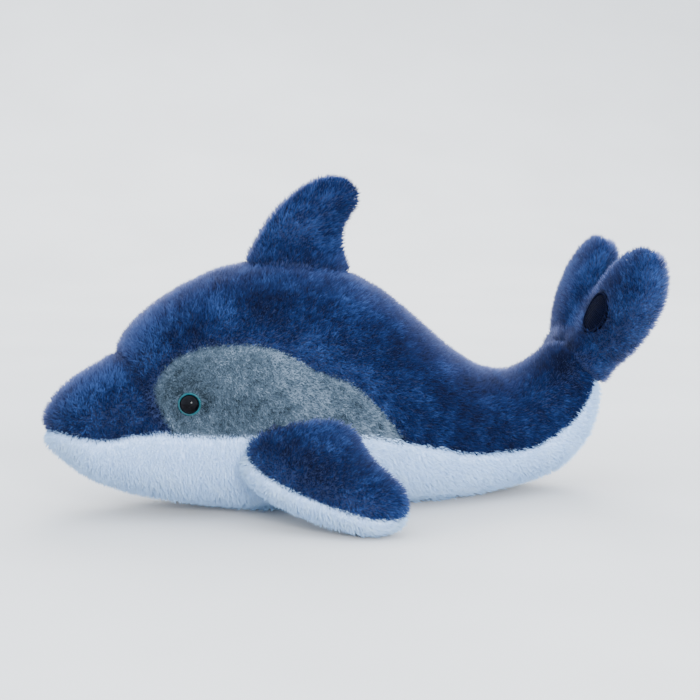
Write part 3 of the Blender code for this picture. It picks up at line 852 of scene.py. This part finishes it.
def pile_plan(body, limbs):
    """Each piece of pile: its name, form, panel, material slot and sizes."""
    plan = []
    for panel in BODY_PANELS:
        slot, sizes = PALE_PILES.get(panel.split("_")[0], ("blue_pile", BODY_PILE))
        plan.append((panel.replace("panel", "pile"), body, panel, slot, sizes))
    for side in SIDES:
        plan.append((f"fin_pile_{side}", limbs["fin"], f"dorsal_fin_{side}", "blue_pile", LIMB_PILE))
    for face in ("front", "rear"):
        panel = f"fluke_{face}_panel"
        plan.append((f"fluke_pile_{face}", limbs["flukes"], panel, "blue_pile", LIMB_PILE))
    for side in SIDES:
        form = limbs[f"flipper_{side}"]
        top, under = f"flipper_{side}_top", f"flipper_{side}_under"
        plan.append((f"flipper_pile_{side}_top", form, top, "blue_pile", LIMB_PILE))
        plan.append((f"flipper_pile_{side}_under", form, under, "white_pile", UNDER_PILE))
    return plan


# Materials


def new_material(name):
    material = bpy.data.materials.new(name)
    material.use_nodes = True
    t = Tree(material.node_tree)
    shader = material.node_tree.nodes["Principled BSDF"]
    return material, t, shader


def ramp(t, factor, stops):
    node = t.add("ShaderNodeValToRGB", factor)
    elements = node.color_ramp.elements
    while len(elements) < len(stops):
        elements.new(0.5)
    for element, (place, colour) in zip(elements, stops):
        element.position = place
        element.color = (*colour, 1.0)
    return node.outputs[0]


def mixed(t, kind, factor, first, second):
    node = t.add(
        "ShaderNodeMix", settings={"data_type": "RGBA", "blend_type": kind, "clamp_factor": True}
    )
    t.put(node.inputs[0], factor)
    t.put(node.inputs[6], first)
    t.put(node.inputs[7], second)
    return node.outputs[2]


def attribute(t, name):
    return t.add("ShaderNodeAttribute", settings={"attribute_name": name}).outputs["Fac"]


def pile_material(name, dye, root, sheen, sheen_weight):
    """Dyed fibre: its tone differs from tuft to tuft and carries painted light and shade, and
    painted shade darkens it towards the root.
    """
    material, t, shader = new_material(name)
    dyed = ramp(t, attribute(t, "tone"), dye)
    # Painted shade between the strands: each strand darkens towards its root
    stops = [(0.0, (root,) * 3), (0.55, (0.8,) * 3), (1.0, (1.0,) * 3)]
    depth = ramp(t, attribute(t, "reach"), stops)
    t.put(shader.inputs["Base Color"], mixed(t, "MULTIPLY", 1.0, dyed, depth))
    shader.inputs["Roughness"].default_value = 0.8
    shader.inputs["Specular IOR Level"].default_value = 0.06
    shader.inputs["Sheen Weight"].default_value = sheen_weight
    shader.inputs["Sheen Roughness"].default_value = 0.42
    shader.inputs["Sheen Tint"].default_value = (*sheen, 1.0)
    return material


def backing_material():
    """Knitted backing, dyed as the pile that grows from it."""
    material, t, shader = new_material("knitted_backing")
    place = t.add("ShaderNodeTexCoord").outputs["Object"]
    knit = t.add("ShaderNodeTexNoise", place, scale=900.0, detail=3.0).outputs[0]
    blue = ramp(t, knit, BLUE_BACKING)
    grey = ramp(t, knit, GREY_BACKING)
    white = ramp(t, knit, WHITE_BACKING)
    dyed = mixed(t, "MIX", attribute(t, "greyness"), blue, grey)
    t.put(shader.inputs["Base Color"], mixed(t, "MIX", attribute(t, "whiteness"), dyed, white))
    shader.inputs["Roughness"].default_value = 0.9
    bump = t.add("ShaderNodeBump", strength=0.3, distance=0.3 * MM, height=knit)
    t.put(shader.inputs["Normal"], bump.outputs[0])
    return material


def gloss_material(name, dark, light, roughness, gloss):
    material, t, shader = new_material(name)
    place = t.add("ShaderNodeTexCoord").outputs["Object"]
    cloud = t.add("ShaderNodeTexNoise", place, scale=260.0, detail=2.0).outputs[0]
    t.put(shader.inputs["Base Color"], ramp(t, cloud, [(0.35, dark), (0.65, light)]))
    shader.inputs["Roughness"].default_value = roughness
    shader.inputs["Specular IOR Level"].default_value = gloss
    return material


def thread_material():
    """Glossy embroidery thread, whose tone differs from stitch to stitch."""
    material, t, shader = new_material("label_thread")
    place = t.add("ShaderNodeTexCoord").outputs["Object"]
    fibre = t.add("ShaderNodeTexNoise", place, scale=2400.0, detail=2.0).outputs[0]
    tone = t.math("ADD", attribute(t, "tone"), t.math("MULTIPLY", fibre, 0.6))
    t.put(shader.inputs["Base Color"], ramp(t, t.math("MULTIPLY", tone, 0.7), THREAD_DYE))
    shader.inputs["Roughness"].default_value = 0.5
    shader.inputs["Specular IOR Level"].default_value = 0.02
    bump = t.add("ShaderNodeBump", strength=0.25, distance=0.1 * MM, height=fibre)
    t.put(shader.inputs["Normal"], bump.outputs[0])
    return material


# Eyes


def lathe(name, profile, segments, place):
    """A round piece turned from radius and height pairs that start and end on its axis."""
    shape = bmesh.new()
    points = [shape.verts.new((radius, 0.0, height)) for radius, height in profile]
    edges = [shape.edges.new(pair) for pair in zip(points, points[1:])]
    bmesh.ops.spin(
        shape,
        geom=points + edges,
        cent=(0.0, 0.0, 0.0),
        axis=(0.0, 0.0, 1.0),
        angle=2.0 * math.pi,
        steps=segments,
        use_merge=True,
    )
    bmesh.ops.remove_doubles(shape, verts=shape.verts, dist=LATHE_MERGE)
    bmesh.ops.recalc_face_normals(shape, faces=shape.faces)
    mesh = bpy.data.meshes.new(name)
    shape.to_mesh(mesh)
    shape.free()
    mesh.transform(place)
    mesh.shade_smooth()
    mesh.set_sharp_from_angle(angle=math.radians(SHARP_EDGE_DEG))
    return linked(name, mesh)


def eye_axis(side):
    """The middle of an eye's pupil, and the way that it looks."""
    iris = points_of(nodes[f"eye_iris_{side}"].data).mean(axis=0)
    pupil = points_of(nodes[f"eye_pupil_{side}"].data).mean(axis=0)
    return Vector(pupil), Vector(pupil - iris).normalized()


def node_lathe_size(name, centre, axis):
    """A turned node's radius, and its lowest and highest place along its axis."""
    away = points_of(nodes[name].data) - np.array(centre)
    along = away @ np.array(axis)
    out = np.linalg.norm(away - along[:, None] * np.array(axis), axis=1)
    return out.max(), along.min(), along.max()


def dome_profile(radius, low, high):
    profile = [(0.0, low)]
    for k in range(DOME_STEPS + 1):
        turn = math.pi / 2.0 * k / DOME_STEPS
        profile.append((radius * math.cos(turn), low + (high - low) * math.sin(turn)))
    return profile


def ring_profile(radius, back, front):
    """The shank, the ring's back, its round rim and the face that the dome sits on."""
    profile = [
        (0.0, back),
        (SHANK_RADIUS * SHANK_TIP, back),
        (SHANK_RADIUS, back + SHANK_RADIUS * SHANK_TAPER),
        (SHANK_RADIUS, front - RING_THICK),
        (radius - RING_RIM, front - RING_THICK),
        (radius, front - RING_THICK + RING_RIM),
    ]
    for k in range(RIM_STEPS + 1):
        turn = math.pi / 2.0 * k / RIM_STEPS
        out, up = RING_RIM * math.cos(turn), RING_RIM * math.sin(turn)
        profile.append((radius - RING_RIM + out, front - RING_RIM + up))
    face = front - RING_FACE_DROP
    return [*profile, (radius * RING_FACE, face), (0.0, face)]


def eye_pieces(side, iris_material, pupil_material):
    centre, axis = eye_axis(side)
    place = axis.to_track_quat("Z", "Y").to_matrix().to_4x4()
    place.translation = centre
    radius, low, high = node_lathe_size(f"eye_pupil_{side}", centre, axis)
    dome = dome_profile(radius - PUPIL_TUCK, low, high)
    pupil = lathe(f"eye_dome_{side}", dome, EYE_SEGMENTS, place)
    pupil.data.materials.append(pupil_material)
    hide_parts(f"eye_pupil_{side}")
    radius, back, front = node_lathe_size(f"eye_iris_{side}", centre, axis)
    ring = ring_profile(radius - RING_TUCK, back, front)
    iris = lathe(f"eye_ring_{side}", ring, EYE_SEGMENTS, place)
    iris.data.materials.append(iris_material)
    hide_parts(f"eye_iris_{side}")
    for piece in (pupil, iris):
        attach(piece, "root")


def eye_clearing(side):
    """The round place that the pile leaves free for an eye."""
    centre, axis = eye_axis(side)
    across = axis.cross((0.0, 0.0, 1.0)).normalized()
    radius = node_lathe_size(f"eye_iris_{side}", centre, axis)[0] - RING_TUCK
    return oval_clearing(centre, across, axis.cross(across), radius, radius)


def make_eyes():
    """The turned rings and domes, and the washers' own plastic."""
    iris = gloss_material("iris_plastic", *IRIS_PLASTIC)
    pupil = gloss_material("pupil_plastic", *PUPIL_PLASTIC)
    washer = gloss_material("washer_plastic", *WASHER_PLASTIC)
    for side in SIDES:
        eye_pieces(side, iris, pupil)
        shown = nodes[f"eye_washer_{side}"].data
        shown.materials.clear()
        shown.materials.append(washer)


# The embroidered patch


class Patch:
    """The patch's middle, its axes along, across and out of the flukes, and its face's height."""

    def __init__(self):
        points = points_of(nodes["label_patch"].data)
        self.middle = points.mean(axis=0)
        rows = np.linalg.svd(points - self.middle, full_matrices=False)[2]
        self.along = rows[0]
        self.out = rows[2] * (-1.0 if rows[2][1] > 0.0 else 1.0)
        self.across = np.cross(self.out, self.along)
        places = (points - self.middle) @ np.array([self.along, self.across, self.out]).T
        self.half_length, self.half_width = np.abs(places[:, :2]).max(axis=0)
        terms = self.terms(places[:, 0], places[:, 1])
        middle_heights = terms @ np.linalg.lstsq(terms, places[:, 2], rcond=None)[0]
        top = places[:, 2] > middle_heights
        self.rise = np.linalg.lstsq(terms[top], places[top, 2], rcond=None)[0]

    @staticmethod
    def terms(a, b):
        a, b = np.asarray(a, float), np.asarray(b, float)
        return np.stack([np.ones_like(a), a, b, a * a, a * b, b * b], axis=-1)

    def point(self, a, b, lift=0.0):
        """The point of the face that lies so far along and across, lifted off it."""
        height = float(self.terms(a, b) @ self.rise) + lift
        return self.middle + a * self.along + b * self.across + height * self.out

    def clearing(self):
        """The oval place that the pile leaves free for the patch."""
        return oval_clearing(
            self.middle, self.along, self.across, self.half_length, self.half_width
        )


def stitch_piece(name, arch):
    """One stitch: a length of thread along X that is thinner at its ends and arches up Z."""
    sides, steps = 5, 5
    points = []
    for i in range(1, steps):
        x = i / steps - 0.5
        thick = 0.5 * (1.0 - 4.0 * abs(x) ** 3)
        for j in range(sides):
            turn = 2.0 * math.pi * j / sides
            rise = arch * (1.0 - 4.0 * x * x)
            points.append((x, thick * math.cos(turn), rise + thick * math.sin(turn)))
    last = len(points)
    points += [(-0.5, 0.0, 0.0), (0.5, 0.0, 0.0)]
    faces = []
    for j in range(sides):
        k = (j + 1) % sides
        faces.append((last, k, j))
        faces.append((last + 1, last - sides + j, last - sides + k))
        for i in range(steps - 2):
            row = i * sides
            faces.append((row + j, row + k, row + sides + k, row + sides + j))
    return mesh_piece(name, points, faces)


def stitch_tree():
    """Puts a stitch on each point, turned along its own direction."""
    inputs = {"Places": "Geometry", "Stitch": "Object", "Material": "Material"}
    group, t, given = new_geometry_tree("stitching", inputs, "Stitches")
    turn = t.turned("X", t.named("way", "FLOAT_VECTOR"), "Z", t.named("up", "FLOAT_VECTOR"))
    tone = t.add("FunctionNodeRandomValue", settings={"data_type": "FLOAT"}).outputs[1]
    places = t.stored(given["Places"], "tone", tone)
    made = t.copies(places, given["Stitch"], turn, t.named("size", "FLOAT_VECTOR"))
    t.end(made, given["Material"])
    return group


def stitched(name, places, stitch, tree, material):
    """Stitches at places, each a point, a way along, a way up and a size."""
    piece = mesh_piece(name, [place[0] for place in places], [])
    for row, key in ((1, "way"), (2, "up"), (3, "size")):
        put_attribute(piece.data, key, [place[row] for place in places], "FLOAT_VECTOR")
    apply_tree(piece, tree, {"Stitch": stitch, "Material": material})
    bpy.data.objects.remove(stitch)
    return piece


def patch_cloth(patch, material):
    """The patch's own cloth: an oval with a face that follows the flukes."""
    turns, rings = CLOTH_TURNS, CLOTH_RINGS
    points = [patch.point(0.0, 0.0, CLOTH_LIFT), patch.point(0.0, 0.0, CLOTH_LIFT - CLOTH_THICK)]
    faces = []
    for i in range(1, rings + 1):
        for j in range(turns):
            turn = 2.0 * math.pi * j / turns
            a = patch.half_length * CLOTH_SHARE * i / rings * math.cos(turn)
            b = patch.half_width * CLOTH_SHARE * i / rings * math.sin(turn)
            points.append(patch.point(a, b, CLOTH_LIFT))
            points.append(patch.point(a, b, CLOTH_LIFT - CLOTH_THICK))
    for j in range(turns):
        k = (j + 1) % turns
        for under in (0, 1):
            first = [under, 2 + 2 * j + under, 2 + 2 * k + under]
            faces.append(first[::-1] if under else first)
            for i in range(rings - 1):
                row, following = 2 + 2 * turns * i + under, 2 + 2 * turns * (i + 1) + under
                square = [row + 2 * j, following + 2 * j, following + 2 * k, row + 2 * k]
                faces.append(square[::-1] if under else square)
        rim = 2 + 2 * turns * (rings - 1)
        faces.append([rim + 2 * j, rim + 2 * j + 1, rim + 2 * k + 1, rim + 2 * k])
    cloth = mesh_piece("patch_cloth", points, faces)
    cloth.data.materials.append(material)
    return cloth


def fill_places(patch):
    """Rows of short stitches across the patch, where each row starts a third of a stitch on."""
    size = (STITCH_LENGTH, THREAD_WIDTH, THREAD_WIDTH)
    length, width = patch.half_length - BORDER_WIDTH, patch.half_width - BORDER_WIDTH
    rows = int(2.0 * length / ROW_SPACING)
    places = []
    for i in range(1, rows):
        a = length * (2.0 * i / rows - 1.0)
        reach = width * math.sqrt(1.0 - (a / length) ** 2)
        b = -reach - STITCH_LENGTH * (0.5 - (i % 3) / 3.0)
        while b < reach + 0.5 * STITCH_LENGTH:
            if abs(b) < reach:
                way = patch.point(a, b + MM) - patch.point(a, b - MM)
                places.append((patch.point(a, b), way, patch.out, size))
            b += STITCH_LENGTH * STITCH_STEP
    return places


def border_places(patch):
    """Stitches over the patch's edge, all slanted one way."""
    size = (BORDER_WIDTH * BORDER_REACH, THREAD_WIDTH * BORDER_THREAD, THREAD_WIDTH * BORDER_THREAD)
    length, width = patch.half_length - BORDER_WIDTH / 2.0, patch.half_width - BORDER_WIDTH / 2.0
    count = int(math.pi * (length + width) / BORDER_SPACING)
    places = []
    for i in range(count):
        turn = 2.0 * math.pi * i / count
        a, b = length * math.cos(turn), width * math.sin(turn)
        side = unit(np.array([math.cos(turn) / length, math.sin(turn) / width]))
        slant = BORDER_SLANT * np.array([-side[1], side[0]])
        lean = (side + slant) * 0.5 * MM
        way = patch.point(a + lean[0], b + lean[1]) - patch.point(a - lean[0], b - lean[1])
        places.append((patch.point(a, b, BORDER_LIFT), way, patch.out, size))
    return places


def make_patch(patch):
    """A plain oval patch: rows of short stitches inside a border of stitches over its edge."""
    material = thread_material()
    tree = stitch_tree()
    fill, border = stitch_piece("fill_stitch", FILL_ARCH), stitch_piece("border_stitch", BORDER_ARCH)
    pieces = [
        patch_cloth(patch, material),
        stitched("patch_fill", fill_places(patch), fill, tree, material),
        stitched("patch_border", border_places(patch), border, tree, material),
    ]
    for piece in pieces:
        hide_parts("label_patch")
        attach(piece, "root")


# The room


def make_camera():
    azimuth, elevation = math.radians(CAMERA_AZIMUTH_DEG), math.radians(CAMERA_ELEVATION_DEG)
    level = math.cos(elevation)
    back = Vector((-math.sin(azimuth) * level, -math.cos(azimuth) * level, math.sin(elevation)))
    camera = linked("camera", bpy.data.cameras.new("camera"))
    camera.data.lens = CAMERA_LENS_MM
    camera.data.sensor_width = CAMERA_SENSOR_MM
    camera.location = CAMERA_TARGET + back * CAMERA_DISTANCE
    camera.rotation_euler = (-back).to_track_quat("-Z", "Y").to_euler()
    scene.camera = camera


def area_light(name, place, size, power):
    light = bpy.data.lights.new(name, "AREA")
    light.shape = "DISK"
    light.size = size
    light.energy = power
    light.color = LIGHT_COLOUR
    made = linked(name, light)
    made.location = place
    made.rotation_euler = (CAMERA_TARGET - Vector(place)).to_track_quat("-Z", "Y").to_euler()


def make_floor():
    """A pale floor that bends up into a wall far behind the plush."""
    line = [(-FLOOR_HALF, 0.0), (BEND_START, 0.0)]
    for k in range(1, BEND_STEPS + 1):
        turn = math.pi / 2.0 * k / BEND_STEPS
        out, up = BEND_RADIUS * math.sin(turn), BEND_RADIUS * (1.0 - math.cos(turn))
        line.append((BEND_START + out, up))
    line.append((BEND_START + BEND_RADIUS, BEND_RADIUS + WALL_HEIGHT))
    points = [(x, y, z) for y, z in line for x in (-FLOOR_HALF, FLOOR_HALF)]
    faces = [(2 * i, 2 * i + 1, 2 * i + 3, 2 * i + 2) for i in range(len(line) - 1)]
    floor = mesh_piece("floor", points, faces)
    material, t, shader = new_material("pale_floor")
    place = t.add("ShaderNodeTexCoord").outputs["Object"]
    cloud = t.add("ShaderNodeTexNoise", place, scale=6.0, detail=2.0).outputs[0]
    t.put(shader.inputs["Base Color"], ramp(t, cloud, FLOOR_COLOURS))
    shader.inputs["Roughness"].default_value = 0.8
    floor.data.materials.append(material)


def make_light():
    """A bright sky all round, a small light in front and a broad one behind."""
    world = bpy.data.worlds.new("studio")
    scene.world = world
    world.use_nodes = True
    background = world.node_tree.nodes["Background"]
    background.inputs["Color"].default_value = (*SKY_COLOUR, 1.0)
    background.inputs["Strength"].default_value = SKY_STRENGTH
    area_light("key_light", place=(0.0, -1.82, 0.62), size=0.48, power=54.0)
    area_light("back_light", place=(0.4, 1.5, 1.5), size=1.2, power=52.0)


def main():
    make_camera()
    make_floor()
    make_light()

    solids = [*BODY_PANELS, "body_stuffing", "eye_iris_left", "eye_iris_right"]
    body = outer_form("body_form", solids, BODY_VOXEL, BODY_SMOOTHING)
    limbs = {}
    for name, (panels, stuffing) in LIMBS.items():
        limbs[name] = outer_form(f"{name}_form", [*panels, stuffing], LIMB_VOXEL, LIMB_SMOOTHING)
    body_tree = search_tree(body)
    limb_trees = {name: search_tree(form) for name, form in limbs.items()}
    patch = Patch()

    stuffed_form(body, BODY_PANELS, BODY_DEPTH)
    blended = [limb_trees[name] for name in BLENDED_LIMBS]
    eyes = [eye_clearing(side) for side in SIDES]
    dress_form(body, BODY_PANELS, BODY_DEPTH, body_lay, limb_trees.values(), blended, eyes)
    for name, form in limbs.items():
        panels = LIMBS[name][0]
        stuffed_form(form, panels, LIMB_DEPTH, body_tree, ROOT_FLARES[name])
        lay = limb_lay(*LIMB_LIES[name]) if name in LIMB_LIES else fin_lay
        blended = [body_tree] if name in BLENDED_LIMBS else []
        clearings = [patch.clearing()] if name == "flukes" else []
        dress_form(form, panels, LIMB_DEPTH, lay, [body_tree], blended, clearings)

    backing = backing_material()
    for form in (body, *limbs.values()):
        paint_backing(form, backing)
        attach(form, "root")
    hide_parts("body_stuffing")
    for name, form in limbs.items():
        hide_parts(LIMBS[name][1])

    materials = {slot: pile_material(slot, *finish) for slot, finish in PILE_FINISHES.items()}
    tree, strand = pile_tree(), strand_piece()
    for number, (name, form, panel, slot, sizes) in enumerate(pile_plan(body, limbs)):
        seed = SEED_STEP * number + 1
        grow_pile(name, form, panel, slot, materials[slot], tree, strand, seed=seed, **sizes)
    bpy.data.objects.remove(strand)

    make_patch(patch)
    make_eyes()


main()
